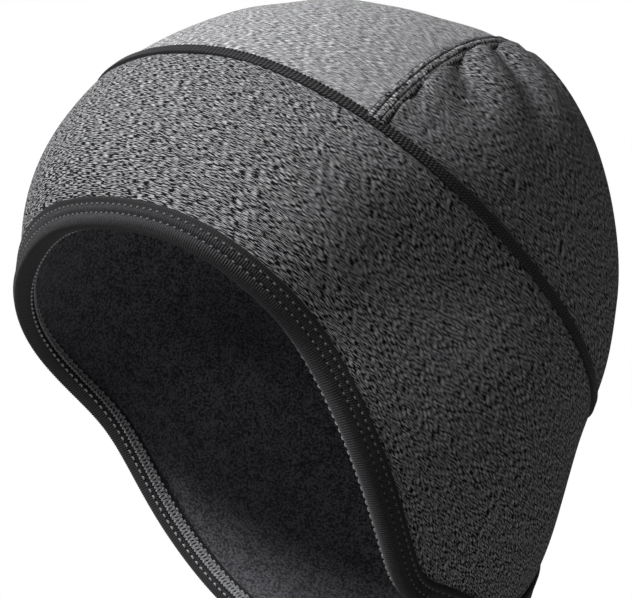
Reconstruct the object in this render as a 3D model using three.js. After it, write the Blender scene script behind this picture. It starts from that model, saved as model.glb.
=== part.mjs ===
// A soft cap with ear flaps, of the sort worn under a helmet, held in the shape of the head.
//
// Millimetres, +Z up. The face opening looks towards -Y and the ear flaps hang at +X and -X. The
// origin is the inside of the crown, where the top of the head sits.
//
// Places on the cap are given by two angles from the middle of the head. The tilt is measured
// from straight up. The turn is measured round the head, from 0 at the forehead through 90 over
// the +X ear to 180 at the back. The chart is a flat map of these angles, in radians: x is
// tilt * sin(turn), towards +X, and y is -tilt * cos(turn), towards the back.

import * as THREE from "three";

const DEGREE = Math.PI / 180;
const FULL_TURN = 2 * Math.PI;

// Reach of the outer face from the middle of the head
const HALF_WIDTH = 82;
const FRONT_REACH = 100;
const BACK_REACH = 100;
const CROWN_RISE = 92;
const FLAP_DROP = 174;

// Cloth
const JERSEY_WALL = 1;
const FLEECE_WALL = 1.2;
const LINING_GAP = 0.7;
const PIECE_GAP = 0.3;

// Seams, binding and gathers
const CROWN_SEAM_WIDTH = 3.7;
const CROWN_SEAM_RISE = 0.5;
const CROSS_SEAM_WIDTH = 6;
const CROSS_SEAM_RISE = 0.8;
const BINDING_WIDTH = 9;
const BINDING_INNER_WIDTH = 7;
const BINDING_WALL = 1;
const GATHER_HEIGHT = 2.4;

// Shares of a plain head form's reach, a row for each tilt and a column for each turn: the
// forehead, the temple at 45, the side at 90, behind the ear at 135 and the back.
const FORM_ROWS = [
  { tilt: 0, front: 1.0, temple: 1.0, side: 1.0, behind: 1.0, back: 1.0 },
  { tilt: 20, front: 0.96, temple: 0.965, side: 0.99, behind: 1.01, back: 1.06 },
  { tilt: 40, front: 0.95, temple: 0.98, side: 1.03, behind: 1.07, back: 1.065 },
  { tilt: 60, front: 0.975, temple: 0.99, side: 1.055, behind: 1.07, back: 1.03 },
  { tilt: 80, front: 0.97, temple: 1.035, side: 1.03, behind: 1.01, back: 1.015 },
  { tilt: 100, front: 0.895, temple: 1.055, side: 0.925, behind: 0.985, back: 0.965 },
  { tilt: 120, front: 0.92, temple: 0.95, side: 0.925, behind: 0.96, back: 0.905 },
  { tilt: 140, front: 0.92, temple: 0.96, side: 0.895, behind: 0.935, back: 0.915 },
  { tilt: 160, front: 0.93, temple: 0.96, side: 0.845, behind: 0.855, back: 0.91 },
];

// The hem dips from the brow to the ear flap's tip and rises again at the nape.
const HEM_ROWS = [
  { turn: 0, tilt: 92.5 },
  { turn: 20, tilt: 95 },
  { turn: 40, tilt: 102 },
  { turn: 60, tilt: 120 },
  { turn: 80, tilt: 142.3 },
  { turn: 100, tilt: 154.9 },
  { turn: 120, tilt: 156 },
  { turn: 140, tilt: 153.5 },
  { turn: 160, tilt: 146 },
  { turn: 180, tilt: 137 },
];

// The crown seam runs round the head, high over the forehead and low at the back.
const CROWN_SEAM_ROWS = [
  { turn: 0, tilt: 54 },
  { turn: 30, tilt: 55.5 },
  { turn: 60, tilt: 66 },
  { turn: 90, tilt: 82.5 },
  { turn: 120, tilt: 97 },
  { turn: 150, tilt: 110.5 },
  { turn: 180, tilt: 109.5 },
];

// The cross seam is an arch over the top of the head, from one side of the crown seam to the
// other: how far behind straight up it lies in the middle, and how far it falls forward at a
// span out to the side.
const CROSS_SEAM_BACK = 40 * DEGREE;
const CROSS_SEAM_FALL = 61 * DEGREE;
const CROSS_SEAM_SPAN = 68 * DEGREE;
const CROSS_SEAM_BEND = 1.75;

// Folds of the back panel where it is gathered into the cross seam. Along is the share of the
// seam's half length from its middle, and reach is the share of the panel that a fold runs down.
const GATHER_ROWS = [
  { along: 0.05, height: 0.7, width: 0.06, reach: 0.5 },
  { along: 0.2, height: 0.9, width: 0.06, reach: 0.6 },
  { along: 0.36, height: 1.0, width: 0.065, reach: 0.7 },
  { along: 0.52, height: 1.0, width: 0.06, reach: 0.7 },
  { along: 0.675, height: 1.0, width: 0.06, reach: 0.65 },
  { along: 0.825, height: 0.8, width: 0.05, reach: 0.45 },
  { along: 0.94, height: 0.35, width: 0.035, reach: 0.4 },
];

// Steps of the cloth's faces
const TURN_STEPS = 60;
const FRONT_ROWS = 7;
const LINING_CROWN_ROWS = 6;
const CROWN_COLUMNS = 26;
const CROWN_ROWS = 13;
const BACK_COLUMNS = 48;
const BACK_ROWS = 9;
const CROSS_SEAM_STEPS = 30;

// A value given at even turns from the forehead to the back, the same on both sides of the head,
// read at any turn by the cosine series through it.
function aroundTheHead(values, turn) {
  const last = values.length - 1;
  const share = (index) => (index === 0 || index === last ? 0.5 : 1);
  let sum = 0;
  for (let wave = 0; wave <= last; wave++) {
    let weight = 0;
    for (let i = 0; i <= last; i++) {
      weight += share(i) * values[i] * Math.cos((Math.PI * wave * i) / last);
    }
    sum += share(wave) * weight * Math.cos(wave * turn);
  }
  return (2 * sum) / last;
}

// The smooth curve from b to c of a row of even values a, b, c, d.
function between(a, b, c, d, t) {
  const square = 2 * a - 5 * b + 4 * c - d;
  const cube = 3 * (b - c) + d - a;
  return b + 0.5 * t * (c - a + t * (square + t * cube));
}

const formColumns = FORM_ROWS.map((row) => [
  row.front,
  row.temple,
  row.side,
  row.behind,
  row.back,
]);
const hemTilts = HEM_ROWS.map((row) => row.tilt * DEGREE);
const crownSeamTilts = CROWN_SEAM_ROWS.map((row) => row.tilt * DEGREE);

// The share of the plain form's reach. The rows mirror over the top of the head, and run on
// straight past the last one.
function formShare(turn, tilt) {
  const step = (FORM_ROWS[1].tilt - FORM_ROWS[0].tilt) * DEGREE;
  const last = formColumns.length - 1;
  const rowAt = (index) => aroundTheHead(formColumns[Math.min(Math.abs(index), last)], turn);
  const index = Math.min(Math.floor(tilt / step), last - 1);
  const near = rowAt(index);
  const far = rowAt(index + 1);
  const past = index + 2 > last ? 2 * far - near : rowAt(index + 2);
  return between(rowAt(index - 1), near, far, past, tilt / step - index);
}

function chartPlace(turn, tilt) {
  return new THREE.Vector2(tilt * Math.sin(turn), -tilt * Math.cos(turn));
}

// The point of the outer face at a place on the chart.
function facePoint(place) {
  const tilt = place.length();
  const turn = Math.atan2(place.x, -place.y);
  const level = tilt > 0 ? Math.sin(tilt) / tilt : 1;
  const ray = new THREE.Vector3(place.x * level, place.y * level, Math.cos(tilt));
  const reach = ray.y < 0 ? FRONT_REACH : BACK_REACH;
  const rise = ray.z > 0 ? CROWN_RISE : FLAP_DROP;
  const plain = 1 / Math.hypot(ray.x / HALF_WIDTH, ray.y / reach, ray.z / rise);
  return ray.multiplyScalar(plain * formShare(turn, tilt));
}

// The outer face round a place: its point, the ways that the chart's two directions run there,
// and the way out of the cloth.
function faceAt(place) {
  const step = 0.002;
  const slope = (x, y) => {
    const ahead = facePoint(new THREE.Vector2(place.x + x, place.y + y));
    const behind = facePoint(new THREE.Vector2(place.x - x, place.y - y));
    return ahead.sub(behind).divideScalar(2 * step);
  };
  const sideways = slope(step, 0);
  const backwards = slope(0, step);
  const out = new THREE.Vector3().crossVectors(sideways, backwards).normalize();
  return { point: facePoint(place), sideways, backwards, out };
}

// The point of the cloth that is lifted from the outer face by a height, or sunk if negative.
function clothPoint(place, lift) {
  const face = faceAt(place);
  return face.point.addScaledVector(face.out, lift);
}

// The step on the chart whose way over the face has these products with the chart's two
// directions there.
function chartStep(face, x, y) {
  const xx = face.sideways.lengthSq();
  const xy = face.sideways.dot(face.backwards);
  const yy = face.backwards.lengthSq();
  const scale = 1 / (xx * yy - xy * xy);
  return new THREE.Vector2(scale * (yy * x - xy * y), scale * (xx * y - xy * x));
}

// The place a distance away from a line over the cloth, square to it. A positive distance goes
// up towards the crown from the hem and the crown seam, and back from the cross seam.
function besideLine(line, at, distance) {
  const small = 0.002;
  const longestStep = 3;
  const run = line(at + small).sub(line(at - small));
  let place = line(at);
  const start = faceAt(place);
  const along = start.sideways.clone().multiplyScalar(run.x).addScaledVector(start.backwards, run.y);
  const heading = new THREE.Vector3().crossVectors(start.out, along).normalize();
  const steps = Math.ceil(Math.abs(distance) / longestStep);
  for (let i = 0; i < steps; i++) {
    const face = faceAt(place);
    const move = heading.clone().projectOnPlane(face.out).setLength(distance / steps);
    place = place.clone();
    place.add(chartStep(face, face.sideways.dot(move), face.backwards.dot(move)));
  }
  return place;
}

function hemLine(turn) {
  return chartPlace(turn, aroundTheHead(hemTilts, turn));
}

function crownSeamLine(turn) {
  return chartPlace(turn, aroundTheHead(crownSeamTilts, turn));
}

// The cross seam's line: along is 0 in the middle and grows towards +X.
function crossSeamLine(along) {
  const fall = CROSS_SEAM_FALL * Math.abs(along) ** CROSS_SEAM_BEND;
  return new THREE.Vector2(CROSS_SEAM_SPAN * along, CROSS_SEAM_BACK - fall);
}

// How far a place lies above the crown seam's line, over the cloth.
function heightOverCrownSeam(place) {
  const small = 0.002;
  const over = (x, y) => {
    const spot = new THREE.Vector2(place.x + x, place.y + y);
    return aroundTheHead(crownSeamTilts, Math.atan2(spot.x, -spot.y)) - spot.length();
  };
  const slopeX = (over(small, 0) - over(-small, 0)) / (2 * small);
  const slopeY = (over(0, small) - over(0, -small)) / (2 * small);
  const steepest = chartStep(faceAt(place), slopeX, slopeY);
  const steepness = Math.sqrt(slopeX * steepest.x + slopeY * steepest.y);
  return over(0, 0) / steepness;
}

// How far along the cross seam a line beside it runs before it comes within a height of the
// crown seam. The sign picks the +X or the -X end.
function crossSeamEnd(across, height, sign) {
  const halvings = 24;
  let clear = 0.5;
  let past = 1.3;
  for (let i = 0; i < halvings; i++) {
    const middle = (clear + past) / 2;
    const place = besideLine(crossSeamLine, sign * middle, across);
    if (heightOverCrownSeam(place) > height) clear = middle;
    else past = middle;
  }
  return sign * clear;
}

// A closed skin through sections in order. Each section is a loop of points: one face first, and
// then the other face back again, with as many points. Both faces split their quads the same way,
// so that a wall keeps its thickness where it twists.
function skin(sections, round) {
  const positions = [];
  const triangle = (a, b, c) => {
    const corners = [a, b, c];
    const apart = corners.every((p, i) => p.distanceTo(corners[(i + 1) % 3]) > 1e-4);
    if (apart) corners.forEach((p) => positions.push(p.x, p.y, p.z));
  };
  const quad = (a, b, c, d) => {
    triangle(a, b, c);
    triangle(a, c, d);
  };
  const count = sections[0].length;
  const spans = round ? sections.length : sections.length - 1;
  for (let i = 0; i < spans; i++) {
    const here = sections[i];
    const next = sections[(i + 1) % sections.length];
    for (let k = 0; k < count; k++) {
      const l = (k + 1) % count;
      if (k < count / 2) quad(here[k], here[l], next[l], next[k]);
      else quad(here[l], next[l], next[k], here[k]);
    }
  }
  if (!round) {
    const first = sections[0];
    const last = sections[sections.length - 1];
    for (let k = 0; k < count / 2 - 1; k++) {
      const m = count - 1 - k;
      quad(first[m], first[m - 1], first[k + 1], first[k]);
      quad(last[k], last[k + 1], last[m - 1], last[m]);
    }
  }
  const geometry = new THREE.BufferGeometry();
  geometry.setAttribute("position", new THREE.Float32BufferAttribute(positions, 3));
  geometry.computeVertexNormals();
  return geometry;
}

// A section of a wall of cloth through places, with its outer face at a lift for each.
function wallSection(places, lifts, wall) {
  const outer = places.map((place, i) => clothPoint(place, lifts[i]));
  const inner = places.map((place, i) => clothPoint(place, lifts[i] - wall));
  return [...outer, ...inner.reverse()];
}

// Places in a straight row on the chart.
function rowOfPlaces(from, to, steps) {
  return Array.from({ length: steps + 1 }, (_, j) => from.clone().lerp(to, j / steps));
}

// Turns at even steps along the hem, the same for all that runs round the head.
function turnsAlongHem() {
  const evenTurns = Array.from({ length: 2 * TURN_STEPS }, (_, i) => (i / 2 / TURN_STEPS) * FULL_TURN);
  const hem = new THREE.CatmullRomCurve3(evenTurns.map((turn) => facePoint(hemLine(turn))), true);
  return Array.from({ length: TURN_STEPS }, (_, i) => hem.getUtoTmapping(i / TURN_STEPS) * FULL_TURN);
}

// Where the cloth ends inside the fold of the binding.
const CLOTH_END = BINDING_WALL + 2 * PIECE_GAP;
// How far the panels stay from the middles of the seams.
const CROWN_SEAM_CLEAR = CROWN_SEAM_WIDTH / 2 + PIECE_GAP;
const CROSS_SEAM_CLEAR = CROSS_SEAM_WIDTH / 2 + PIECE_GAP;

// Places from below the crown seam down to where the cloth ends inside the binding.
function placesToHem(turn) {
  const top = besideLine(crownSeamLine, turn, -CROWN_SEAM_CLEAR);
  const [bindingTop, bindingMiddle, foot] = [BINDING_WIDTH, BINDING_WIDTH / 2, CLOTH_END].map(
    (rise) => besideLine(hemLine, turn, rise),
  );
  return [...rowOfPlaces(top, bindingTop, FRONT_ROWS), bindingMiddle, foot];
}

// The band of jersey between the crown seam and the hem, with the brow, ear flaps and nape.
function frontPanel() {
  const sections = turnsAlongHem().map((turn) => {
    const places = placesToHem(turn);
    return wallSection(places, places.map(() => 0), JERSEY_WALL);
  });
  return skin(sections, true);
}

// A panel above the crown seam, from one corner at the cross seam to the other. Its columns run
// from the cross seam to the crown seam, and close to a point at both corners.
function upperPanel({ across, from, to, columns, rows, liftAt }) {
  const ends = [from, to].map((sign) => crossSeamEnd(across, CROWN_SEAM_CLEAR, sign));
  const corners = ends.map((end) => besideLine(crossSeamLine, end, across));
  const turns = corners.map((corner) => Math.atan2(corner.x, -corner.y));
  if (turns[1] < turns[0]) turns[1] += FULL_TURN;
  const sections = [];
  for (let i = 0; i <= columns; i++) {
    const share = i / columns;
    const along = THREE.MathUtils.lerp(ends[0], ends[1], share);
    const turn = THREE.MathUtils.lerp(turns[0], turns[1], share);
    const corner = i === 0 ? corners[0] : corners[1];
    const closed = i === 0 || i === columns;
    const head = closed ? corner : besideLine(crossSeamLine, along, across);
    const foot = closed ? corner : besideLine(crownSeamLine, turn, CROWN_SEAM_CLEAR);
    const places = rowOfPlaces(head, foot, rows);
    const lifts = places.map((_, j) => (closed ? 0 : liftAt(along, j / rows)));
    sections.push(wallSection(places, lifts, JERSEY_WALL));
  }
  return skin(sections, false);
}

// The smooth panel over the top of the head, in front of the cross seam.
function crownPanel() {
  return upperPanel({
    across: -CROSS_SEAM_CLEAR,
    from: -1,
    to: 1,
    columns: CROWN_COLUMNS,
    rows: CROWN_ROWS,
    liftAt: () => 0,
  });
}

// How far the gathers lift the back panel, at a share along the cross seam and a share down.
function gatherLift(along, down) {
  let lift = 0;
  for (const fold of GATHER_ROWS) {
    const off = (Math.abs(along) - fold.along) / (fold.width * (1 + down));
    const fade = THREE.MathUtils.smoothstep(1 - down / fold.reach, 0, 1);
    lift += fold.height * Math.exp(-off * off) * fade;
  }
  return GATHER_HEIGHT * lift;
}

// The panel behind the cross seam, gathered into it.
function backPanel() {
  return upperPanel({
    across: CROSS_SEAM_CLEAR,
    from: 1,
    to: -1,
    columns: BACK_COLUMNS,
    rows: BACK_ROWS,
    liftAt: gatherLift,
  });
}

// The fleece inside, one smooth layer from the top of the head to the hem.
function fleeceLining() {
  const lift = -JERSEY_WALL - LINING_GAP;
  const crown = new THREE.Vector2(0, 0);
  const sections = turnsAlongHem().map((turn) => {
    const lower = placesToHem(turn);
    const places = [...rowOfPlaces(crown, lower[0], LINING_CROWN_ROWS), ...lower.slice(1)];
    return wallSection(places, places.map(() => lift), FLEECE_WALL);
  });
  return skin(sections, true);
}

// The tape folded round the hem: its outer leg, a soft fold at the edge and its inner leg.
function edgeBinding() {
  const outside = PIECE_GAP + BINDING_WALL;
  const inside = -JERSEY_WALL - LINING_GAP - FLEECE_WALL - PIECE_GAP;
  const innermost = inside - BINDING_WALL;
  const fold = [
    { rise: BINDING_WIDTH, lift: outside },
    { rise: BINDING_WIDTH / 2, lift: outside },
    { rise: BINDING_WALL, lift: outside },
    { rise: 0, lift: (2 * outside + innermost) / 3 },
    { rise: 0, lift: (outside + 2 * innermost) / 3 },
    { rise: BINDING_WALL, lift: innermost },
    { rise: BINDING_WIDTH / 2, lift: innermost },
    { rise: BINDING_INNER_WIDTH, lift: innermost },
    { rise: BINDING_INNER_WIDTH, lift: inside },
    { rise: BINDING_WIDTH / 2, lift: inside },
    { rise: BINDING_WALL, lift: inside },
    { rise: BINDING_WALL, lift: PIECE_GAP },
    { rise: BINDING_WIDTH / 2, lift: PIECE_GAP },
    { rise: BINDING_WIDTH, lift: PIECE_GAP },
  ];
  const sections = turnsAlongHem().map((turn) =>
    fold.map(({ rise, lift }) => clothPoint(besideLine(hemLine, turn, rise), lift)),
  );
  return skin(sections, true);
}

// The flat band of stitches that joins the front panel to the panels above it.
function crownSeam() {
  const half = CROWN_SEAM_WIDTH / 2;
  const sections = turnsAlongHem().map((turn) => {
    const places = [half, -half].map((across) => besideLine(crownSeamLine, turn, across));
    return wallSection(places, [CROWN_SEAM_RISE, CROWN_SEAM_RISE], JERSEY_WALL + CROWN_SEAM_RISE);
  });
  return skin(sections, true);
}

// The raised seam over the top of the head. Its ends follow the crown seam.
function crossSeam() {
  const profile = [
    { across: 0.5, rise: 0.4 },
    { across: 0.3, rise: 1 },
    { across: -0.3, rise: 1 },
    { across: -0.5, rise: 0.4 },
  ];
  const lines = profile.map(({ across }) => {
    const away = across * CROSS_SEAM_WIDTH;
    const ends = [-1, 1].map((sign) => crossSeamEnd(away, CROWN_SEAM_CLEAR, sign));
    return { away, ends };
  });
  const sections = [];
  for (let i = 0; i <= CROSS_SEAM_STEPS; i++) {
    const spots = lines.map(({ away, ends }) => {
      const along = THREE.MathUtils.lerp(ends[0], ends[1], i / CROSS_SEAM_STEPS);
      return besideLine(crossSeamLine, along, away);
    });
    const outer = spots.map((spot, k) => clothPoint(spot, profile[k].rise * CROSS_SEAM_RISE));
    const inner = spots.map((spot) => clothPoint(spot, -JERSEY_WALL));
    sections.push([...outer, ...inner.reverse()]);
  }
  return skin(sections, false);
}

function clothMaterial(name, color) {
  return new THREE.MeshStandardMaterial({ name, color, roughness: 0.95, metalness: 0 });
}

const melange = clothMaterial("melange_jersey", 0x6c6c70);
const fleece = clothMaterial("dark_fleece", 0x222125);
const tape = clothMaterial("ribbed_tape", 0x47474b);
const thread = clothMaterial("seam_thread", 0x242428);

// The pieces are laid out round the middle of the head, which the cap's group carries down so
// that the inside of the crown is the origin.
const cap = new THREE.Group();
cap.position.z = JERSEY_WALL + LINING_GAP + FLEECE_WALL - CROWN_RISE * FORM_ROWS[0].front;

function addPiece(name, geometry, material) {
  const piece = new THREE.Mesh(geometry, material);
  piece.name = name;
  cap.add(piece);
}

addPiece("front_panel", frontPanel(), melange);
addPiece("crown_panel", crownPanel(), melange);
addPiece("back_panel", backPanel(), melange);
addPiece("fleece_lining", fleeceLining(), fleece);
addPiece("edge_binding", edgeBinding(), tape);
addPiece("crown_seam", crownSeam(), thread);
addPiece("cross_seam", crossSeam(), melange);

const group = new THREE.Group();
group.add(cap);

export default group;
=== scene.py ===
"""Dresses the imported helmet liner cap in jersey, fleece, tape and stitched seams, in a studio."""

from math import ceil, pi, radians

import bmesh
import bpy
import numpy as np
from bpy.props import FloatProperty, FloatVectorProperty, PointerProperty
from mathutils import Matrix


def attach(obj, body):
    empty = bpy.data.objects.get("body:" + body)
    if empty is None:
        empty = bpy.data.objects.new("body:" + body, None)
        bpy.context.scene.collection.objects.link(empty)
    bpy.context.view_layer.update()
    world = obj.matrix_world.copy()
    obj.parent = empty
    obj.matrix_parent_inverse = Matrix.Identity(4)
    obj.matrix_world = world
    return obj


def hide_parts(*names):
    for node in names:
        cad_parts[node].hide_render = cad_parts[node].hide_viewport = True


bl_info = {
    "name": "Helmet Liner Cap",
    "version": (1, 0, 0),
    "blender": (4, 5, 0),
    "location": "View3D > Sidebar > Cap",
    "description": "Builds a helmet liner cap's cloth, seams and stitches round its packed frame",
    "category": "Object",
}

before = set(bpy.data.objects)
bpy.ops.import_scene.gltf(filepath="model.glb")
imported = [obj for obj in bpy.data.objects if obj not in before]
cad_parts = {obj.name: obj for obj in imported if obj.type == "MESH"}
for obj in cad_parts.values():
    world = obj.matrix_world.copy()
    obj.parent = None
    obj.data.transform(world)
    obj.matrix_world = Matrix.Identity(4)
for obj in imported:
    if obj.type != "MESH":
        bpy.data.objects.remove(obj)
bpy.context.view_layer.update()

# The head form, in metres, from the tables of the frame's source. A place on the cloth is given
# on a chart of two angles from the middle of the head: x is tilt * sin(turn) and y is
# -tilt * cos(turn), with the tilt from straight up and the turn from the forehead over the +X ear.
HALF_WIDTH = 0.082
FRONT_REACH = 0.100
BACK_REACH = 0.100
CROWN_RISE = 0.092
FLAP_DROP = 0.174
JERSEY_WALL = 0.001
FLEECE_WALL = 0.0012
LINING_GAP = 0.0007
MIDDLE_HEIGHT = JERSEY_WALL + LINING_GAP + FLEECE_WALL - CROWN_RISE

# Shares of the plain form's reach: a row each 20 degrees of tilt, a column each 45 of turn
FORM_TILT_STEP = radians(20)
FORM_ROWS = np.array(
    [
        [1.0, 1.0, 1.0, 1.0, 1.0],
        [0.96, 0.965, 0.99, 1.01, 1.06],
        [0.95, 0.98, 1.03, 1.07, 1.065],
        [0.975, 0.99, 1.055, 1.07, 1.03],
        [0.97, 1.035, 1.03, 1.01, 1.015],
        [0.895, 1.055, 0.925, 0.985, 0.965],
        [0.92, 0.95, 0.925, 0.96, 0.905],
        [0.92, 0.96, 0.895, 0.935, 0.915],
        [0.93, 0.96, 0.845, 0.855, 0.91],
    ]
)
# Tilts of the hem each 20 degrees of turn, and of the crown seam each 30
HEM_TILTS = np.radians([92.5, 95, 102, 120, 142.3, 154.9, 156, 153.5, 146, 137])
CROWN_SEAM_TILTS = np.radians([54, 55.5, 66, 82.5, 97, 110.5, 109.5])
CROSS_SEAM_BACK = radians(40)
CROSS_SEAM_FALL = radians(61)
CROSS_SEAM_SPAN = radians(68)
CROSS_SEAM_BEND = 1.75

# Folds of the back panel at the cross seam: along, height, width and reach, as shares
GATHERS = (
    (0.05, 0.2, 0.06, 0.25),
    (0.2, 0.3, 0.06, 0.3),
    (0.36, 0.6, 0.065, 0.5),
    (0.52, 1.0, 0.06, 0.7),
    (0.675, 1.0, 0.06, 0.65),
    (0.825, 0.8, 0.05, 0.45),
    (0.94, 0.35, 0.035, 0.4),
)
# Creases between the folds: along, depth, width and reach, as shares
CREASES = (
    (0.28, 0.3, 0.022, 0.45),
    (0.45, 0.55, 0.024, 0.6),
    (0.6, 0.65, 0.026, 0.7),
    (0.75, 0.6, 0.024, 0.55),
    (0.9, 0.3, 0.018, 0.35),
)

# How cloth sinks where it goes under a seam: how far from the seam it starts, and how deep it goes
UNDER_CROWN_SEAM = (0.0032, 0.0006)
UNDER_CROSS_SEAM = (0.0022, 0.0007)
# Shares of a seam's width, from its middle, at which the cloth on each side ends
CROWN_SEAM_CLEAR = 0.3
CROSS_SEAM_CLEAR = 0.4
# How far above the hem the jersey and the fleece end, inside the tape
HEM_CLEAR = 1.3 * JERSEY_WALL
# How far the fleece rises and falls, and how thick the two seams' bands are
FLEECE_WAVE = 0.0004
BAND_WALL = 0.00055
CROSS_BAND_WALL = 0.0007

CHART_RADIUS = 0.095
SMALL_ANGLE = 0.002
FULL_TURN = 2 * pi
THREAD_SIDES = 6
CREASE_ANGLE = radians(50)
SAME_PLACE = 1e-7


def size(name, description, default):
    return FloatProperty(
        name=name, description=description, default=default, unit="LENGTH", precision=5
    )


def colour(name, description, default):
    return FloatVectorProperty(
        name=name, description=description, default=default, subtype="COLOR", min=0, max=1
    )


def share(name, description, default):
    return FloatProperty(name=name, description=description, default=default, subtype="FACTOR")


class CapJersey(bpy.types.PropertyGroup):
    """The brushed melange jersey outside and the fleece inside"""

    dark_yarn: colour("Dark yarn", "The melange's dark fibres", (0.014, 0.014, 0.015))
    light_yarn: colour("Light yarn", "The melange's light fibres", (0.62, 0.62, 0.64))
    # The crown panel's dark fibres are lifted to a light grey: a painted sheen haze over the crown.
    crown_dark_painted_sheen: colour("Crown dark yarn", "Dark fibres of the crown panel", (0.15, 0.15, 0.156))
    # The crown panel's light fibres are lighter than the other panels': partly a lighter cloth,
    # partly a painted highlight on the crown.
    crown_yarn_with_painted_highlight: colour("Crown yarn", "Light fibres of the crown panel", (0.97, 0.97, 0.99))
    streak_length: size("Streak length", "Length of the melange's streaks", 0.0026)
    streak_width: size("Streak width", "Width of the melange's streaks", 0.00024)
    gather_height: size("Gather height", "How far the folds lift the back panel", 0.0034)
    wave_height: size("Wave height", "How far the cloth rises and falls", 0.00035)
    fleece_colour: colour("Fleece", "The lining's fleece", (0.190, 0.185, 0.209))
    pile_size: size("Pile size", "Size of the fleece's tufts", 0.0008)


class CapTape(bpy.types.PropertyGroup):
    """The ribbed tape round the hem"""

    tape_colour: colour("Tape", "The tape's yarn", (0.055, 0.055, 0.059))
    rib_pitch: size("Rib pitch", "Distance from rib to rib", 0.00078)
    rib_height: size("Rib height", "Height of the ribs", 0.0002)


class CapThread(bpy.types.PropertyGroup):
    """Threads of the seams and the hem"""

    dark_thread: colour("Dark thread", "Thread of the seams", (0.02, 0.02, 0.022))
    # The seam stitch is a lighter grey thread than the dark thread of the band under it.
    seam_stitch: colour("Seam stitch", "Worn thread on top of the crown seam", (0.085, 0.085, 0.09))
    hem_stitch: colour("Hem stitch", "Thread of the two rows on the tape", (0.19, 0.19, 0.20))
    looped_thread: colour("Looped thread", "Light thread inside the hem", (0.72, 0.72, 0.74))
    thickness: size("Thickness", "Thickness of the threads", 0.00045)
    hem_pitch: size("Hem pitch", "Distance from stitch to stitch along the hem", 0.00245)
    seam_pitch: size("Seam pitch", "Distance from stitch to stitch in the crown seam", 0.0014)
    crown_seam_width: size("Crown seam width", "Width of the flat seam round the head", 0.0037)
    cross_seam_width: size("Cross seam width", "Width of the raised seam", 0.006)


class CapStudio(bpy.types.PropertyGroup):
    """Floor, lights and background"""

    floor_drop: size("Floor drop", "How far the floor lies below the crown", 1.2)
    floor_colour: colour("Floor", "The floor's colour", (0.8, 0.8, 0.8))
    fill: share("Fill", "Strength of the light from all round", 0.062)


def cosine_weights(values):
    """Weights of the cosine series through values at even turns from the forehead to the back."""
    last = values.shape[-1] - 1
    index = np.arange(last + 1)
    ends = np.where((index == 0) | (index == last), 0.5, 1.0)
    return (values * ends) @ np.cos(pi * np.outer(index, index) / last) * ends * 2 / last


def around_the_head(weights, turn):
    return np.cos(np.multiply.outer(turn, np.arange(weights.shape[-1]))) @ weights.T


# The rows mirror over the top of the head, and run on straight past the last one.
FORM_WEIGHTS = cosine_weights(
    np.vstack([FORM_ROWS[1], FORM_ROWS, 2 * FORM_ROWS[-1] - FORM_ROWS[-2]])
)
HEM_WEIGHTS = cosine_weights(HEM_TILTS)
CROWN_SEAM_WEIGHTS = cosine_weights(CROWN_SEAM_TILTS)


def form_share(turn, tilt):
    columns = around_the_head(FORM_WEIGHTS, turn)
    index = np.minimum(np.floor(tilt / FORM_TILT_STEP), len(FORM_ROWS) - 2).astype(int)
    a, b, c, d = (np.take_along_axis(columns, (index + k)[..., None], -1)[..., 0] for k in range(4))
    t = tilt / FORM_TILT_STEP - index
    return b + 0.5 * t * (c - a + t * (2 * a - 5 * b + 4 * c - d + t * (3 * (b - c) + d - a)))


def unit(vectors):
    return vectors / np.linalg.norm(vectors, axis=-1, keepdims=True)


def dot(a, b):
    return (a * b).sum(-1, keepdims=True)


def turn_of(place):
    return np.arctan2(place[..., 0], -place[..., 1])


def tilt_of(place):
    return np.hypot(place[..., 0], place[..., 1])


def chart_place(turn, tilt):
    return np.stack([tilt * np.sin(turn), -tilt * np.cos(turn)], -1)


def face_point(place):
    """Points of the jersey's outer face, from the middle of the head."""
    tilt = tilt_of(place)
    level = np.sinc(tilt / pi)
    ray = np.stack([place[..., 0] * level, place[..., 1] * level, np.cos(tilt)], -1)
    reach = np.stack(
        [
            np.full_like(tilt, HALF_WIDTH),
            np.where(ray[..., 1] < 0, FRONT_REACH, BACK_REACH),
            np.where(ray[..., 2] > 0, CROWN_RISE, FLAP_DROP),
        ],
        -1,
    )
    plain = 1 / np.linalg.norm(ray / reach, axis=-1)
    return ray * (plain * form_share(turn_of(place), tilt))[..., None]


def face_at(place):
    """The ways of the chart's two directions over the face, and the way out of the cloth."""
    steps = SMALL_ANGLE * np.eye(2)
    sideways, backwards = (
        (face_point(place + step) - face_point(place - step)) / (2 * SMALL_ANGLE) for step in steps
    )
    return sideways, backwards, unit(np.cross(sideways, backwards))


def cloth_point(place, lift):
    """Points lifted from the outer face of the jersey by a height."""
    return face_point(place) + face_at(place)[2] * np.asarray(lift)[..., None]


def chart_step(sideways, backwards, move):
    """The step on the chart that makes a move over the face."""
    xx, xy, yy = dot(sideways, sideways), dot(sideways, backwards), dot(backwards, backwards)
    x, y = dot(sideways, move), dot(backwards, move)
    return np.concatenate([yy * x - xy * y, xx * y - xy * x], -1) / (xx * yy - xy * xy)


def beside_line(line, at, distance):
    """Places a distance from a line over the cloth, square to it, and the line's way there."""
    longest_step = 0.003
    run = line(at + SMALL_ANGLE) - line(at - SMALL_ANGLE)
    place = line(at)
    sideways, backwards, out = face_at(place)
    along = unit(sideways * run[..., :1] + backwards * run[..., 1:])
    heading = np.cross(out, along)
    distance = np.broadcast_to(distance, np.shape(at))
    steps = max(1, ceil(np.abs(distance).max() / longest_step))
    for _ in range(steps):
        sideways, backwards, out = face_at(place)
        move = unit(heading - out * dot(heading, out)) * distance[..., None] / steps
        place = place + chart_step(sideways, backwards, move)
    return place, along


def hem_line(turn):
    return chart_place(turn, around_the_head(HEM_WEIGHTS, turn))


def crown_seam_line(turn):
    return chart_place(turn, around_the_head(CROWN_SEAM_WEIGHTS, turn))


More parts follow.
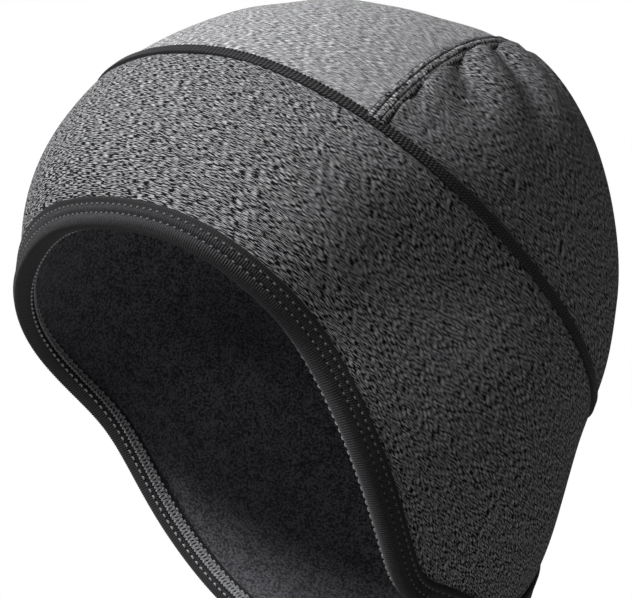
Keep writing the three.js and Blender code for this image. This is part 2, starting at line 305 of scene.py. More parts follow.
def cross_seam_line(along):
    fall = CROSS_SEAM_FALL * np.abs(along) ** CROSS_SEAM_BEND
    return np.stack([CROSS_SEAM_SPAN * along, CROSS_SEAM_BACK - fall], -1)


def lengths_along(points):
    """How far along a line through points each of them lies."""
    return np.concatenate([[0], np.cumsum(np.linalg.norm(np.diff(points, axis=0), axis=1))])


def even_steps(line, start, end, count):
    """Values from start to end that lie at even steps over the cloth, and the line's length."""
    samples = np.linspace(start, end, 2000)
    lengths = lengths_along(face_point(line(samples)))
    return np.interp(np.linspace(0, lengths[-1], count), lengths, samples), lengths[-1]


def cross_seam_end(across, clear):
    """How far along the cross seam a line beside it runs before it meets the crown seam."""
    along = np.linspace(0.6, 1.3, 400)
    place, _ = beside_line(cross_seam_line, along, across)
    return along[np.argmax(-below_crown_seam(place) < clear)]


def soft_waves(points, length, seed):
    """A smooth rise and fall between -1 and 1 with waves of about a length."""
    rng = np.random.default_rng(seed)
    waves = 9
    usual_peak = 1.6 * waves**0.5
    ways = unit(rng.normal(size=(waves, 3)))
    ways = ways * rng.uniform(0.7, 1.5, (waves, 1)) * FULL_TURN / length
    phases = rng.uniform(0, FULL_TURN, waves)
    return np.sin(points @ ways.T + phases).sum(-1) / usual_peak


def smooth(x):
    x = np.clip(x, 0, 1)
    return x * x * (3 - 2 * x)


def below_crown_seam(place):
    """How far a place lies below the crown seam, about."""
    return CHART_RADIUS * (tilt_of(place) - around_the_head(CROWN_SEAM_WEIGHTS, turn_of(place)))


def along_crown_seam(place):
    """How far round the crown seam a place lies."""
    samples = np.linspace(-FULL_TURN, 2 * FULL_TURN, 3000)
    lengths = lengths_along(face_point(crown_seam_line(samples)))
    return np.interp(np.unwrap(turn_of(place), axis=0), samples, lengths)


def front_cloth(place):
    """Coordinates in the cloth of the front panel, whose grain lies level with the crown seam."""
    front, back = face_point(crown_seam_line(np.array([0, pi])))
    grain = unit(back - front)
    down = np.array([0, grain[2], -grain[1]])
    return np.stack([along_crown_seam(place), (face_point(place) - front) @ down], -1)


def back_cloth(place):
    """Coordinates in the cloth of the back panel, whose grain follows the crown seam."""
    return np.stack([along_crown_seam(place), below_crown_seam(place)], -1)


def crown_cloth(place):
    """Coordinates in the cloth of the crown panel, whose grain bows back at both sides."""
    bow = 0.6
    x, y = place[..., 0], place[..., 1]
    return CHART_RADIUS * np.stack([x, y - bow * x * x], -1)


def grid_of(along, across):
    """Cloth coordinates from a column along and a row across."""
    return np.stack(np.broadcast_arrays(along, across), -1)


def skin(sections, cloth, closed):
    """Quads through loops of points, and the cloth coordinates of their corners."""
    count, loop = sections.shape[:2]
    spans = count if closed else count - 1
    i, k = (grid.ravel() for grid in np.meshgrid(np.arange(spans), np.arange(loop), indexing="ij"))
    j, m = (i + 1) % count, (k + 1) % loop
    faces = np.stack([i * loop + k, i * loop + m, j * loop + m, j * loop + k], -1)
    corners = np.stack([cloth[i, k], cloth[i, m], cloth[i + 1, m], cloth[i + 1, k]], 1)
    if not closed:
        k = np.arange(loop // 2 - 1)
        m = loop - 1 - k
        cap = np.stack([m, m - 1, k + 1, k], -1)
        for end in (0, count - 1):
            faces = np.concatenate([faces, end * loop + cap])
            corners = np.concatenate([corners, cloth[end][cap]])
    return sections.reshape(-1, 3), faces, corners


def wall(places, lifts, thickness, cloth, closed):
    """A wall of cloth through a grid of places, with its outer face at a lift for each."""
    outer = cloth_point(places, lifts)
    inner = cloth_point(places, lifts - thickness)
    both = np.concatenate([cloth, cloth[:, ::-1]], 1)
    return skin(np.concatenate([outer, inner[:, ::-1]], 1), both, closed)


def tube(points, side, out, radius):
    """A closed thread through points, round in the plane of its side and out ways."""
    angle = np.arange(THREAD_SIDES) * FULL_TURN / THREAD_SIDES
    ring = np.cos(angle)[:, None] * side[:, None] + np.sin(angle)[:, None] * out[:, None]
    length = lengths_along(points)
    length = np.append(length, length[-1] + np.linalg.norm(points[0] - points[-1]))
    cloth = grid_of(length[:, None], radius * angle[None])
    return skin(points[:, None] + radius * ring, cloth, True)


def stitches(centres, along, out, length, thickness, dive):
    """Short threads along a way, whose ends dive into the cloth."""
    sides = THREAD_SIDES
    shares = np.array([-1.0, -0.86, -0.45, 0.0, 0.45, 0.86, 1.0])
    thick = np.array([0.45, 0.85, 1.0, 1.05, 1.0, 0.85, 0.45]) * thickness / 2
    side = np.cross(out, along)
    angle = np.arange(sides) * FULL_TURN / sides
    ring = (
        np.cos(angle)[None, None, :, None] * side[:, None, None]
        + np.sin(angle)[None, None, :, None] * out[:, None, None]
    )
    spine = (
        centres[:, None]
        + shares[None, :, None] * along[:, None] * length / 2
        - (shares**4)[None, :, None] * out[:, None] * dive
    )
    points = spine[:, :, None] + thick[None, :, None, None] * ring
    count, rings = len(centres), len(shares)
    ranges = map(np.arange, (count, rings - 1, sides))
    n, i, k = (grid.ravel() for grid in np.meshgrid(*ranges, indexing="ij"))
    base = (n * rings + i) * sides
    m = (k + 1) % sides
    faces = np.stack([base + k, base + m, base + sides + m, base + sides + k], -1)
    cloth = grid_of(shares[:, None] * length / 2, thickness * angle[None] / 2)
    corners = np.stack([cloth[i, k], cloth[i, m], cloth[i + 1, m], cloth[i + 1, k]], 1)
    first = np.arange(count)[:, None] * rings * sides
    caps = [first + np.arange(sides), first + (rings - 1) * sides + np.arange(sides)[::-1]]
    blank = np.zeros((count, sides, 2))
    return points.reshape(-1, 3), [faces, *caps], [corners, blank, blank]


def joined(parts):
    """One mesh from several parts."""
    points, faces, corners, start = [], [], [], 0
    for part_points, part_faces, part_corners in parts:
        if not isinstance(part_faces, list):
            part_faces, part_corners = [part_faces], [part_corners]
        points.append(part_points)
        faces += [rows + start for rows in part_faces]
        corners += part_corners
        start += len(part_points)
    return np.concatenate(points), faces, corners


def add_piece(name, parts, material, stands_for=None):
    """Makes a mesh of parts a piece of the cap that rides on its frame."""
    points, faces, corners = joined(parts)
    points = points + np.array([0, 0, MIDDLE_HEIGHT])
    mesh = bpy.data.meshes.new(name)
    mesh.from_pydata(points.tolist(), [], [face for rows in faces for face in rows.tolist()])
    layer = mesh.uv_layers.new(name="cloth")
    flat = np.concatenate([rows.reshape(-1) for rows in corners])
    layer.data.foreach_set("uv", flat.astype(np.float32))
    shape = bmesh.new()
    shape.from_mesh(mesh)
    bmesh.ops.remove_doubles(shape, verts=shape.verts, dist=SAME_PLACE)
    bmesh.ops.recalc_face_normals(shape, faces=shape.faces)
    shape.to_mesh(mesh)
    shape.free()
    mesh.shade_smooth()
    mesh.set_sharp_from_angle(angle=CREASE_ANGLE)
    mesh.materials.append(material)
    piece = bpy.data.objects.new(name, mesh)
    bpy.context.scene.collection.objects.link(piece)
    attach(piece, "root")
    if stands_for:
        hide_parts(stands_for)


class Value:
    """A socket of a shader, on which Python's operators add Math nodes."""

    def __init__(self, shader, socket):
        self.shader = shader
        self.socket = socket

    def math(self, operation, first, second):
        return self.shader.add("ShaderNodeMath", {"operation": operation}, {0: first, 1: second})

    def __add__(self, other):
        return self.math("ADD", self, other)

    def __rsub__(self, other):
        return self.math("SUBTRACT", other, self)

    def __mul__(self, other):
        return self.math("MULTIPLY", self, other)

    def __truediv__(self, other):
        return self.math("DIVIDE", self, other)


class Shader:
    """A material whose nodes are added by one method."""

    def __init__(self, name, roughness, specular, sheen=0.0, sheen_roughness=0.45):
        self.material = bpy.data.materials.new(name)
        self.material.use_nodes = True
        self.tree = self.material.node_tree
        self.surface = self.tree.nodes["Principled BSDF"]
        self.surface.inputs["Roughness"].default_value = roughness
        self.surface.inputs["Specular IOR Level"].default_value = specular
        self.surface.inputs["Sheen Weight"].default_value = sheen
        self.surface.inputs["Sheen Roughness"].default_value = sheen_roughness

    def add(self, kind, settings=None, inputs=None, output=0):
        node = self.tree.nodes.new(kind)
        for name, value in (settings or {}).items():
            setattr(node, name, value)
        for name, value in (inputs or {}).items():
            self.feed(node.inputs[name], value)
        return Value(self, node.outputs[output])

    def feed(self, socket, value):
        if isinstance(value, Value):
            self.tree.links.new(value.socket, socket)
        else:
            socket.default_value = value

    def cloth(self):
        """The cloth coordinates: metres along the grain and across it."""
        uv = self.add("ShaderNodeUVMap", {"uv_map": "cloth"})
        axes = self.add("ShaderNodeSeparateXYZ", None, {0: uv})
        return axes, Value(self, axes.socket.node.outputs[1])

    def noise(self, x, y, detail, roughness=0.5):
        """Flat noise about 0.5, with spots one unit long."""
        place = self.add("ShaderNodeCombineXYZ", None, {0: x, 1: y})
        inputs = {"Vector": place, "Scale": 1.0, "Detail": detail, "Roughness": roughness}
        return self.add("ShaderNodeTexNoise", {"noise_dimensions": "2D"}, inputs)

    def solid_noise(self, length, detail, roughness=0.5):
        """Noise in the round about 0.5, with spots about as long as a length."""
        place = self.add("ShaderNodeTexCoord", None, None, "Object")
        inputs = {"Vector": place, "Scale": 1 / length, "Detail": detail, "Roughness": roughness}
        return self.add("ShaderNodeTexNoise", None, inputs)

    def wave(self, turns):
        """Rises and falls between 0 and 1 once for each whole turn."""
        swing = self.add("ShaderNodeMath", {"operation": "COSINE"}, {0: turns * FULL_TURN})
        return swing * 0.5 + 0.5

    def ramp(self, value, low, high):
        """0 below low, 1 above high and smooth between."""
        inputs = {"Value": value, "From Min": low, "From Max": high}
        return self.add("ShaderNodeMapRange", {"interpolation_type": "SMOOTHSTEP"}, inputs)

    def mix(self, factor, first, second):
        inputs = {"Factor": factor, 6: (*first, 1), 7: (*second, 1)}
        return self.add("ShaderNodeMix", {"data_type": "RGBA"}, inputs, 2)

    def bump(self, height, distance, strength):
        inputs = {"Height": height, "Distance": distance, "Strength": strength}
        self.feed(self.surface.inputs["Normal"], self.add("ShaderNodeBump", None, inputs))

    def paint(self, value):
        self.feed(self.surface.inputs["Base Color"], value)

    def glow_in_view(self, colour, part):
        """Lets a part of the surface show an even light that reaches nothing else."""
        seen = self.add("ShaderNodeLightPath", None, None, "Is Camera Ray")
        glow = self.add("ShaderNodeEmission", None, {"Color": (*colour, 1)})
        plain = Value(self, self.surface.outputs[0])
        both = self.add("ShaderNodeMixShader", None, {0: seen * part, 1: plain, 2: glow})
        self.feed(self.tree.nodes["Material Output"].inputs["Surface"], both)


def melange(name, jersey, dark, light):
    """Brushed jersey of dark and light fibres that run along the grain in fine streaks."""
    shader = Shader(name, roughness=0.95, specular=0.05)
    along, across = shader.cloth()
    length, width = jersey.streak_length, jersey.streak_width

    def streaks(longer, wider, slant, start):
        x = along / (length * longer) + start
        y = (across + along * slant) / (width * wider) + start
        return shader.noise(x, y, detail=0.0)

    coarse = streaks(longer=1.0, wider=1.1, slant=0.01, start=0.0)
    fine = streaks(longer=0.7, wider=0.85, slant=-0.1, start=31.0)
    hairs = streaks(longer=1.6, wider=1.0, slant=0.06, start=140.0)
    fibres = coarse * 0.15 + fine * 0.7 + hairs * 0.15
    tone = shader.ramp(fibres, 0.505, 0.595)
    shader.paint(shader.mix(tone, tuple(dark), tuple(light)))
    shader.bump(fibres, distance=0.00035, strength=0.5)
    return shader.material


def shades(base, *times):
    """Darker and lighter shades of a colour."""
    return [tuple(part * c for c in base) for part in times]


def fleece(jersey):
    """Dark fleece with small soft tufts."""
    shader = Shader("fleece_pile", roughness=1.0, specular=0.1, sheen=0.5, sheen_roughness=0.6)
    tufts = shader.solid_noise(jersey.pile_size, detail=3.0, roughness=0.6)
    clumps = shader.solid_noise(jersey.pile_size * 5, detail=2.0)
    tone = shader.ramp(tufts * 0.8 + clumps * 0.2, 0.4, 0.62)
    shader.paint(shader.mix(tone, *shades(jersey.fleece_colour, 0.3, 2.1)))
    shader.bump(tufts, distance=0.0006, strength=0.7)
    return shader.material


# How far across the tape from its upper edge the painted shade along that edge starts to fade, and
# where it ends
PAINTED_EDGE_SHADE_START = 0.0019
PAINTED_EDGE_SHADE_END = 0.0024


def tape(colours):
    """Ribbed tape, with painted shade making it darker between the ribs, and painted shade along
    its upper edge.
    """
    shader = Shader("tape_ribs", roughness=0.75, specular=0.3, sheen=0.2, sheen_roughness=0.4)
    along, across = shader.cloth()
    yarn = shader.noise(along / 0.0004, across / 0.0012, detail=2.0, roughness=0.6)
    # The rib wave paints the tape lighter on the ribs and darker between them: painted shade in the
    # gaps between the ribs.
    rib = shader.wave(along / colours.rib_pitch)
    # plain is 1 along the tape's upper edge, where it darkens the tone: painted shade along that
    # edge.
    plain = shader.ramp(across, PAINTED_EDGE_SHADE_END, PAINTED_EDGE_SHADE_START)
    tone = shader.ramp(rib * 0.7 + yarn * 0.6, 0.3, 0.95) * (1 - plain * 0.75)
    shader.paint(shader.mix(tone, *shades(colours.tape_colour, 0.25, 1.9)))
    shader.bump(yarn, distance=0.0001, strength=0.5)
    return shader.material


def thread(name, base):
    """Twisted polyester thread."""
    shader = Shader(name, roughness=0.55, specular=0.4, sheen=0.2, sheen_roughness=0.4)
    along, around = shader.cloth()
    ply = shader.noise((along + around) / 0.0003, around / 0.0004, detail=1.0)
    shader.paint(shader.mix(shader.ramp(ply, 0.4, 0.6), *shades(base, 0.7, 1.3)))
    shader.bump(ply, distance=0.00006, strength=0.6)
    return shader.material


def material_of(name, make, *values):
    """The material of this name, made when it is first asked for."""
    return bpy.data.materials.get(name) or make(*values)


def jersey_material(jersey):
    yarns = jersey.dark_yarn, jersey.light_yarn
    return material_of("melange_cloth", melange, "melange_cloth", jersey, *yarns)


def crown_material(jersey):
    # The crown's melange is lighter: partly lighter cloth, partly a painted highlight, with its
    # dark fibres lifted as painted sheen.
    yarns = jersey.crown_dark_painted_sheen, jersey.crown_yarn_with_painted_highlight
    return material_of("melange_crown", melange, "melange_crown", jersey, *yarns)


def thread_material(threads, name):
    """The material of the thread whose colour has this name among the panel's colours."""
    return material_of(name, thread, name, getattr(threads, name))


def rows_between(top, foot, shares):
    return top[:, None] + (foot - top)[:, None] * shares[None, :, None]


def near_foot(rows, part):
    """1 over a panel's rows, and down to 0 at the last one over a part of its height."""
    return smooth((np.arange(rows, -1, -1) / rows) / part)


def tuck(distance, reach, depth):
    """How far cloth sinks at a distance from the seam that it goes under."""
    return -depth * (1 - smooth(distance / reach))


class CAP_OT_front_panel(bpy.types.Operator):
    """Makes the band of jersey with the brow, ear flaps and nape"""

    bl_idname = "cap.front_panel"
    bl_label = "Front panel"

    def execute(self, context):
        jersey, threads = context.scene.cap_jersey, context.scene.cap_thread
        columns, rows = 480, 64
        turns = even_steps(hem_line, 0, FULL_TURN, columns + 1)[0]
        clear = CROWN_SEAM_CLEAR * threads.crown_seam_width
        top, _ = beside_line(crown_seam_line, turns, -clear)
        foot, _ = beside_line(hem_line, turns, HEM_CLEAR)
        places = rows_between(top, foot, np.linspace(0, 1, rows + 1))
        cloth = front_cloth(places)
        points = face_point(places)
        lifts = jersey.wave_height * soft_waves(points, length=0.035, seed=3)
        lifts += tuck(below_crown_seam(places) - clear, *UNDER_CROWN_SEAM)
        lifts = lifts * near_foot(rows, 0.12)
        parts = [wall(places[:-1], lifts[:-1], JERSEY_WALL, cloth, True)]
        material = jersey_material(jersey)
        add_piece("front_panel_cloth", parts, material, "front_panel")
        return {"FINISHED"}


def upper_panel(across, signs, columns, rows, clear):
    """Places of a panel above the crown seam, with each column's share along the cross seam."""
    end = cross_seam_end(across, clear)
    alongs = np.linspace(signs[0] * end, signs[1] * end, columns + 1)
    head, _ = beside_line(cross_seam_line, alongs, across)
    corners = turn_of(head[[0, -1]])
    if corners[1] < corners[0]:
        corners[1] += FULL_TURN
    turns = np.linspace(corners[0], corners[1], columns + 1)
    foot, _ = beside_line(crown_seam_line, turns, clear)
    foot[[0, -1]] = head[[0, -1]]
    return rows_between(head, foot, np.linspace(0, 1, rows + 1)), alongs / end


def from_head(places):
    """How far places lie from the panel's edge at the cross seam."""
    return CHART_RADIUS * tilt_of(places - places[:, :1])


def gather_lift(along, down):
    """How far the gathers lift the back panel, as a share of their height."""
    lift = np.zeros(np.broadcast(along, down).shape)
    for middle, height, width, reach in GATHERS:
        off = (np.abs(along) - middle) / (width * (1 + down))
        lift += height * np.exp(-off * off) * smooth(1 - down / reach)
    for middle, depth, width, reach in CREASES:
        off = (np.abs(along) - middle) / (width * (1 + 2 * down))
        sink = depth * (0.5 + 0.5 * smooth(down / 0.1))
        lift -= sink * np.exp(-off * off) * smooth(1 - down / reach)
    return lift


class CAP_OT_crown_panel(bpy.types.Operator):
    """Makes the smooth panel over the top of the head"""

    bl_idname = "cap.crown_panel"
    bl_label = "Crown panel"

    def execute(self, context):
        jersey, threads = context.scene.cap_jersey, context.scene.cap_thread
        clear = CROWN_SEAM_CLEAR * threads.crown_seam_width
        across = -CROSS_SEAM_CLEAR * threads.cross_seam_width
        places, _ = upper_panel(across, (-1, 1), 220, 90, clear)
        points = face_point(places)
        lifts = jersey.wave_height * soft_waves(points, length=0.035, seed=5)
        lifts += tuck(-below_crown_seam(places) - clear, *UNDER_CROWN_SEAM)
        lifts += tuck(from_head(places), *UNDER_CROSS_SEAM)
        parts = [wall(places, lifts, JERSEY_WALL, crown_cloth(places), False)]
        material = crown_material(jersey)
        add_piece("crown_panel_cloth", parts, material, "crown_panel")
        return {"FINISHED"}


class CAP_OT_back_panel(bpy.types.Operator):
    """Makes the panel behind the cross seam, gathered into it"""

    bl_idname = "cap.back_panel"
    bl_label = "Back panel"

    def execute(self, context):
        jersey, threads = context.scene.cap_jersey, context.scene.cap_thread
        clear = CROWN_SEAM_CLEAR * threads.crown_seam_width
        columns, rows = 420, 90
        across = CROSS_SEAM_CLEAR * threads.cross_seam_width
        places, alongs = upper_panel(across, (1, -1), columns, rows, clear)
        points = face_point(places)
        down = np.linspace(0, 1, rows + 1)[None]
        above = -below_crown_seam(places)
        lifts = jersey.gather_height * gather_lift(alongs[:, None], down)
        lifts *= smooth(above / 0.02)
        lifts += jersey.wave_height * soft_waves(points, length=0.03, seed=8)
        lifts += tuck(above - clear, *UNDER_CROWN_SEAM)
        lifts += tuck(from_head(places), *UNDER_CROSS_SEAM)
        parts = [wall(places, lifts, JERSEY_WALL, back_cloth(places), False)]
        material = jersey_material(jersey)
        add_piece("back_panel_cloth", parts, material, "back_panel")
        return {"FINISHED"}


class CAP_OT_fleece_lining(bpy.types.Operator):
    """Makes the fleece inside"""

    bl_idname = "cap.fleece_lining"
    bl_label = "Fleece lining"

    def execute(self, context):
        jersey = context.scene.cap_jersey
        columns, rows = 240, 90
        turns = even_steps(hem_line, 0, FULL_TURN, columns + 1)[0]
        foot, _ = beside_line(hem_line, turns, HEM_CLEAR)
        places = rows_between(np.zeros_like(foot), foot, np.linspace(0, 1, rows + 1))
        cloth = CHART_RADIUS * places
        waves = soft_waves(face_point(places), length=0.03, seed=11)
        lifts = FLEECE_WAVE * (waves - 1) * near_foot(rows, 0.1)
        lifts -= JERSEY_WALL + LINING_GAP
        parts = [wall(places[:-1], lifts[:-1], FLEECE_WALL, cloth, True)]
        material = material_of("fleece_pile", fleece, jersey)
        add_piece("fleece_lining_cloth", parts, material, "fleece_lining")
        return {"FINISHED"}


# Outline of the tape's section: rise from the hem and lift from the jersey, in metres
TAPE_SECTION = (
    (0.0090, 0.0003),
    (0.0089, 0.0009),
    (0.0084, 0.0012),
    (0.0076, 0.0013),
    (0.0068, 0.0009),
    (0.0060, 0.0014),
    (0.0050, 0.0015),
    (0.0041, 0.0010),
    (0.0034, 0.0017),
    (0.0023, 0.0021),
    (0.0010, 0.0019),
    (0.0000, 0.0010),
    (-0.0006, -0.0003),
    (-0.0007, -0.0020),
    (-0.0003, -0.0034),
    (0.0008, -0.0043),
    (0.0024, -0.0045),
    (0.0045, -0.0043),
    (0.0070, -0.0042),
    (0.0071, -0.0033),
    (0.0045, -0.0032),
    (0.0012, -0.0032),
    (0.0012, 0.0003),
    (0.0045, 0.0003),
)
TAPE_RIBS_START = 4
TAPE_RIBS_END = 17


class CAP_OT_edge_binding(bpy.types.Operator):
    """Makes the ribbed tape folded round the hem"""

    bl_idname = "cap.edge_binding"
    bl_label = "Edge binding"

    def execute(self, context):
        sizes = context.scene.cap_tape
        length = even_steps(hem_line, 0, FULL_TURN, 2)[1]
        ribs = round(length / sizes.rib_pitch)
        steps_per_rib = 3
        columns = ribs * steps_per_rib
        turns = even_steps(hem_line, 0, FULL_TURN, columns + 1)[0]
        section = np.array(TAPE_SECTION)
        ahead, behind = np.roll(section, -1, 0), np.roll(section, 1, 0)
        run = unit(ahead - behind)
        away = np.stack([run[:, 1], -run[:, 0]], -1)
        ribbed = np.ones(len(section))
        ribbed[:TAPE_RIBS_START] = 0
        ribbed[TAPE_RIBS_END:] = 0
        rib = sizes.rib_height * np.cos(FULL_TURN * np.arange(columns + 1) / steps_per_rib)
        loops, around = [], 0.0
        cloth = np.zeros((columns + 1, len(section), 2))
        cloth[..., 0] = sizes.rib_pitch * np.linspace(0, ribs, columns + 1)[:, None]
        for index, (rise, lift) in enumerate(section):
            relief = rib * ribbed[index]
            place, _ = beside_line(hem_line, turns, rise)
            points = cloth_point(place, lift - away[index, 1] * relief)
            loops.append(points)
            cloth[:, index, 1] = around
            around += np.linalg.norm(ahead[index] - section[index])
        sections = np.stack(loops, 1)
        parts = [skin(sections[:-1], cloth, True)]
        material = material_of("tape_ribs", tape, sizes)
        add_piece("edge_binding_tape", parts, material, "edge_binding")
        return {"FINISHED"}


def spots(line, start, end, count, distance, lift):
    """Even spots beside a line: their points and the ways along the line and out of the cloth."""
    at = even_steps(line, start, end, count + 1)[0][:-1]
    place, along = beside_line(line, at, distance)
    out = face_at(place)[2]
    along = unit(along - out * dot(along, out))
    return cloth_point(place, np.full(count, lift)), along, out


# Rows of stitches on the tape: rise from the hem and lift from the jersey, in metres
TOPSTITCH_ROWS = ((0.0068, 0.0011), (0.0041, 0.0012))
# The looped thread inside the hem: its lift, the rise of its middle and its swing to each side
LOOP_LIFT = -0.0046
LOOP_RISE = 0.0030
LOOP_SWING = 0.0017
# Rows of stitches along the loops' two edges: rise and lift
LOOP_EDGE_ROWS = ((-0.0003, -0.0038), (0.0052, LOOP_LIFT))


class CAP_OT_hem_stitches(bpy.types.Operator):
    """Makes the two rows of stitches on the binding and the looped thread inside it"""

    bl_idname = "cap.hem_stitches"
    bl_label = "Hem stitches"

    def execute(self, context):
        threads = context.scene.cap_thread
        length = even_steps(hem_line, 0, FULL_TURN, 2)[1]
        count = round(length / threads.hem_pitch)
        rows = []
        for rise, lift in TOPSTITCH_ROWS:
            points, along, out = spots(hem_line, 0, FULL_TURN, count, rise, lift)
            thick = 1.5 * threads.thickness
            rows.append(stitches(points, along, out, length=0.0011, thickness=thick, dive=0.0002))
        add_piece("binding_topstitch", rows, thread_material(threads, "hem_stitch"))
        steps = 12
        loops = []
        for phase in (0.0, pi):
            turns = even_steps(hem_line, 0, FULL_TURN, count * steps + 1)[0][:-1]
            swing = FULL_TURN * np.arange(count * steps) / steps + phase
            place, along = beside_line(hem_line, turns, LOOP_RISE + LOOP_SWING * np.cos(swing))
            out = face_at(place)[2]
            points = cloth_point(place, LOOP_LIFT - 0.0001 * np.sin(swing * 2 + phase))
            way = unit(np.roll(points, -1, 0) - np.roll(points, 1, 0))
            side = unit(np.cross(out, way))
            loops.append(tube(points, side, np.cross(way, side), 0.7 * threads.thickness))
        for rise, lift in LOOP_EDGE_ROWS:
            points, along, out = spots(hem_line, 0, FULL_TURN, count, rise, lift)
            thick = 1.4 * threads.thickness
            loops.append(stitches(points, along, -out, length=0.0013, thickness=thick, dive=0.0003))
        material = thread_material(threads, "looped_thread")
        add_piece("binding_looped_thread", loops, material)
        return {"FINISHED"}


# Section of the flat seam: share across its half width and lift in metres
CROWN_SECTION = (
    (-1.0, 0.0000),
    (-0.9, 0.0003),
    (-0.6, 0.00045),
    (-0.2, 0.0005),
    (0.2, 0.0005),
    (0.6, 0.00045),
    (0.9, 0.0003),
    (1.0, 0.0000),
)
# Rows of stitches on the flat seam: share across its half width
CROWN_ROWS = (-0.75, -0.25, 0.25, 0.75)
CROWN_ROW_LIFT = 0.0006


class CAP_OT_crown_seam(bpy.types.Operator):
    """Makes the flat stitched band round the head"""

    bl_idname = "cap.crown_seam"
    bl_label = "Crown seam"

    def execute(self, context):
        threads = context.scene.cap_thread
        half = threads.crown_seam_width / 2
        columns = 480
        turns, length = even_steps(crown_seam_line, 0, FULL_TURN, columns + 1)
        shares, lifts = np.array(CROWN_SECTION).T
        across = half * shares
        places = np.stack([beside_line(crown_seam_line, turns, a)[0] for a in across[::-1]], 1)
        lifts = np.broadcast_to(lifts, places.shape[:2]).copy()
        cloth = grid_of(np.linspace(0, length, columns + 1)[:, None], across[None])
        band = [wall(places[:-1], lifts[:-1], BAND_WALL, cloth, True)]
        dark = thread_material(threads, "dark_thread")
        add_piece("crown_seam_band", band, dark, "crown_seam")
        count = round(length / threads.seam_pitch)
        slant = 0.6
        rows = []
        for row in CROWN_ROWS:
            place = row * half, CROWN_ROW_LIFT
            points, along, out = spots(crown_seam_line, 0, FULL_TURN, count, *place)
            way = unit(along + slant * np.cross(out, along))
            thick = threads.thickness
            rows.append(stitches(points, way, out, length=0.0013, thickness=thick, dive=0.0003))
        light = thread_material(threads, "seam_stitch")
        add_piece("crown_seam_stitches", rows, light)
        return {"FINISHED"}


# Section of the raised seam: share across its half width, towards the back, and lift in metres
CROSS_SECTION = (
    (-1.0, 0.0000),
    (-0.94, 0.0008),
    (-0.75, 0.0011),
    (-0.52, 0.0010),
    (-0.42, 0.0005),
    (-0.32, 0.0010),
    (0.0, 0.0013),
    (0.28, 0.0011),
    (0.38, 0.0005),
    (0.48, 0.0010),
    (0.75, 0.0010),
    (0.94, 0.0006),
    (1.0, 0.0000),
)
# Dark threads of the raised seam: share across, lift in metres and share of a thread's thickness.
# The rows at the two edges, at -1 and 1, are painted shadow: dark threads laid along the seam's
# edges where there is only shade.
CROSS_THREADS_AND_SHADOW_LINES = (
    (-1.0, 0.0002, 1.0),
    (-0.42, 0.0006, 1.15),
    (0.38, 0.0006, 1.5),
    (1.0, 0.0002, 1.3),
)
CROSS_PITCH = 0.0021


class CAP_OT_cross_seam(bpy.types.Operator):
    """Makes the raised double stitched seam over the top of the head"""

    bl_idname = "cap.cross_seam"
    bl_label = "Cross seam"

    def execute(self, context):
        jersey, threads = context.scene.cap_jersey, context.scene.cap_thread
        half = threads.cross_seam_width / 2
        columns = 300
        shares, lifts = np.array(CROSS_SECTION[::-1]).T
        ends = [cross_seam_end(a * half, 0.0) for a in shares]
        step = np.linspace(-1, 1, columns + 1)
        places = np.stack(
            [
                beside_line(cross_seam_line, step * end, across * half)[0]
                for across, end in zip(shares, ends)
            ],
            1,
        )
        lifts = lifts * (1 + 0.25 * soft_waves(face_point(places), length=0.009, seed=21))
        length = even_steps(cross_seam_line, -1, 1, 2)[1]
        cloth = grid_of((shares * half)[None], step[:, None] * length / 2)
        band = [wall(places, lifts, CROSS_BAND_WALL, cloth, False)]
        add_piece("cross_seam_band", band, jersey_material(jersey), "cross_seam")
        count = round(length / CROSS_PITCH)
        rows = []
        # The two edge rows are painted shadow lines along the seam's edges; the middle two are the
        # seam's stitch rows.
        for share_across, lift, thicker in CROSS_THREADS_AND_SHADOW_LINES:
            spot = spots(cross_seam_line, -1, 1, count, share_across * half, lift)
            thick = thicker * threads.thickness
            rows.append(stitches(*spot, length=0.0020, thickness=thick, dive=0.0002))
        dark = thread_material(threads, "dark_thread")
        add_piece("cross_seam_stitches", rows, dark)
        return {"FINISHED"}


# Camera: the way back from the subject, the picture's right and up ways, and the place
CAMERA_TURN = radians(62.44)
CAMERA_RISE = radians(-15.71)
CAMERA_ROLL = radians(3.80)
CAMERA_DISTANCE = 1.019
CAMERA_SHIFT = (-0.00070, -0.00649)
CAMERA_LENS = 181.4
SENSOR_WIDTH = 36
CLIP_START = 0.05
FLOOR_SIZE = 14

# Soft lights: name, place, size across in metres, power in watts
LIGHTS = (
    ("key", (0.270, -1.015, 0.690), 0.55, 17.0),
    ("back", (0.500, 0.900, 0.700), 0.55, 0.7),
)


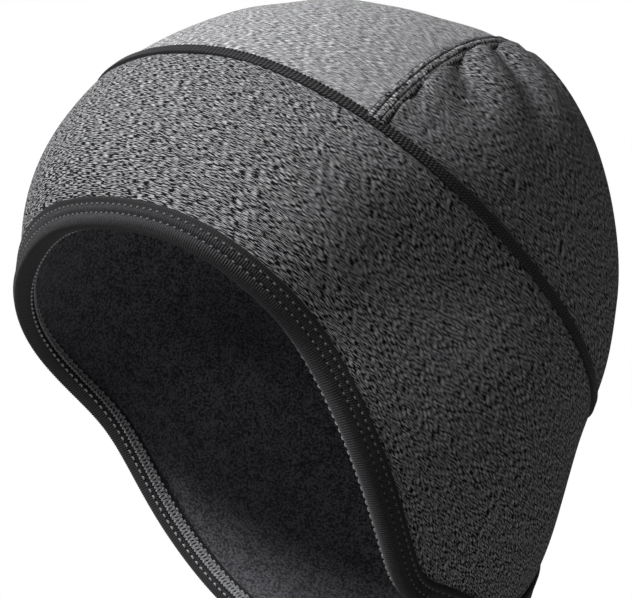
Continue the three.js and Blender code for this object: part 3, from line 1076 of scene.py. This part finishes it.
class CAP_OT_studio(bpy.types.Operator):
    """Makes the floor, the soft lights, the background and the camera"""

    bl_idname = "cap.studio"
    bl_label = "Studio"

    def execute(self, context):
        studio = context.scene.cap_studio
        bpy.ops.mesh.primitive_plane_add(size=FLOOR_SIZE, location=(0, 0, -studio.floor_drop))
        floor = context.object
        floor.name = "floor"
        shader = Shader("floor", roughness=0.9, specular=0.2)
        grain = shader.solid_noise(0.4, detail=3.0)
        worn, pale = shades(studio.floor_colour, 0.97, 1)
        shader.paint(shader.mix(grain, worn, pale))
        shader.glow_in_view(pale, 0.6)
        floor.data.materials.append(shader.material)
        for name, place, across, power in LIGHTS:
            lamp = bpy.data.lights.new(name, "AREA")
            lamp.shape = "DISK"
            lamp.size = across
            lamp.energy = power
            light = bpy.data.objects.new(name, lamp)
            way = unit(np.array(place) - np.array([0, 0, MIDDLE_HEIGHT]))
            light.matrix_world = looking_back(way, np.array([0, 0, 1.0]), np.array(place))
            context.scene.collection.objects.link(light)
        self.background(context, studio)
        self.camera(context)
        context.scene.view_settings.view_transform = "Standard"
        return {"FINISHED"}

    def background(self, context, studio):
        world = bpy.data.worlds.new("studio")
        world.use_nodes = True
        tree = world.node_tree
        back = tree.nodes["Background"]
        back.inputs["Color"].default_value = (1, 1, 1, 1)
        path = tree.nodes.new("ShaderNodeLightPath")
        strength = tree.nodes.new("ShaderNodeMapRange")
        strength.inputs["To Min"].default_value = studio.fill
        tree.links.new(path.outputs["Is Camera Ray"], strength.inputs["Value"])
        tree.links.new(strength.outputs["Result"], back.inputs["Strength"])
        context.scene.world = world

    def camera(self, context):
        turn, rise, roll = CAMERA_TURN, CAMERA_RISE, CAMERA_ROLL
        back = np.array([np.sin(turn) * np.cos(rise), -np.cos(turn) * np.cos(rise), np.sin(rise)])
        right = np.array([np.cos(turn), np.sin(turn), 0])
        up = np.cross(back, right) * np.cos(roll) - right * np.sin(roll)
        right = np.cross(up, back)
        place = back * CAMERA_DISTANCE + right * CAMERA_SHIFT[0] + up * CAMERA_SHIFT[1]
        place[2] += MIDDLE_HEIGHT
        lens = bpy.data.cameras.new("camera")
        lens.lens = CAMERA_LENS
        lens.sensor_width = SENSOR_WIDTH
        lens.clip_start = CLIP_START
        camera = bpy.data.objects.new("camera", lens)
        camera.matrix_world = looking_back(back, up, place)
        context.scene.collection.objects.link(camera)
        context.scene.camera = camera


def looking_back(back, up, place):
    """The matrix of a camera or light that looks away from the way back."""
    right = unit(np.cross(up, back))
    columns = (right, np.cross(back, right), back, place)
    return Matrix([[column[row] for column in columns] for row in range(3)] + [[0, 0, 0, 1]])


PIECES = (
    CAP_OT_front_panel,
    CAP_OT_crown_panel,
    CAP_OT_back_panel,
    CAP_OT_fleece_lining,
    CAP_OT_edge_binding,
    CAP_OT_hem_stitches,
    CAP_OT_crown_seam,
    CAP_OT_cross_seam,
    CAP_OT_studio,
)
GROUPS = {
    "cap_jersey": CapJersey,
    "cap_tape": CapTape,
    "cap_thread": CapThread,
    "cap_studio": CapStudio,
}


class CAP_PT_panel(bpy.types.Panel):
    """Lists the cap's sizes, colours and pieces"""

    bl_idname = "CAP_PT_panel"
    bl_label = "Helmet Liner Cap"
    bl_space_type = "VIEW_3D"
    bl_region_type = "UI"
    bl_category = "Cap"

    def draw(self, context):
        for group, kind in GROUPS.items():
            box = self.layout.box()
            for name in kind.__annotations__:
                box.prop(getattr(context.scene, group), name)
        for piece in PIECES:
            self.layout.operator(piece.bl_idname)


def register():
    for kind in (*GROUPS.values(), *PIECES, CAP_PT_panel):
        bpy.utils.register_class(kind)
    for group, kind in GROUPS.items():
        setattr(bpy.types.Scene, group, PointerProperty(type=kind))


def unregister():
    for group in GROUPS:
        delattr(bpy.types.Scene, group)
    for kind in reversed((*GROUPS.values(), *PIECES, CAP_PT_panel)):
        bpy.utils.unregister_class(kind)


def main():
    register()
    bpy.ops.cap.front_panel()
    bpy.ops.cap.crown_panel()
    bpy.ops.cap.back_panel()
    bpy.ops.cap.fleece_lining()
    bpy.ops.cap.edge_binding()
    bpy.ops.cap.hem_stitches()
    bpy.ops.cap.crown_seam()
    bpy.ops.cap.cross_seam()
    bpy.ops.cap.studio()


if __name__ == "__main__":
    main()
